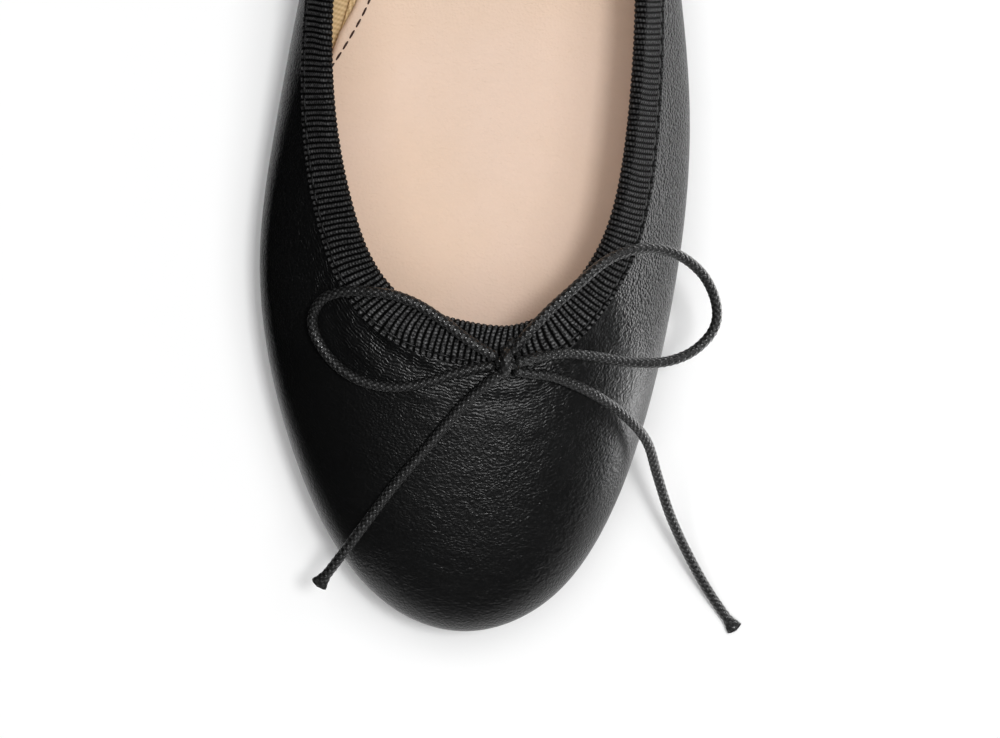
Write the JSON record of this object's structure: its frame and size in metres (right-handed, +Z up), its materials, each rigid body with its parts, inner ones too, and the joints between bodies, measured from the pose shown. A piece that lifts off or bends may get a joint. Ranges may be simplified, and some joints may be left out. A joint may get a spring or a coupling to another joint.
{
  "type": "ballet flat",
  "caption": "Women's round-toe ballet flat for the left foot, with a bound topline, a thin sole, a low heel and a cord bow at the throat.",
  "frame": {"origin": "centre of the underside of the shoe's bounding box, on the floor, with the bow's cord left out", "axes": "+Z up from the floor, +Y from the toe to the heel, +X towards the outer side of the left foot"},
  "size_m": [0.0954, 0.2498, 0.0586],
  "materials": {
    "black_leather": "semi-matte smooth black leather",
    "black_grosgrain": "ribbed black ribbon",
    "nude_leather": "matt smooth nude leather",
    "black_sole": "matt black",
    "black_heel": "satin black",
    "waxed_cord": "braided and waxed, slight sheen"
  },
  "bodies": {
    "root": {"upper": "black_leather", "topline_binding": "black_grosgrain", "insole": "nude_leather", "outsole": "black_sole", "heel": "black_heel", "bow_knot": "waxed_cord", "bow_loop_medial": "waxed_cord", "bow_loop_lateral": "waxed_cord", "bow_tail_medial": "waxed_cord", "bow_tail_lateral": "waxed_cord"}
  },
  "joints": []
}
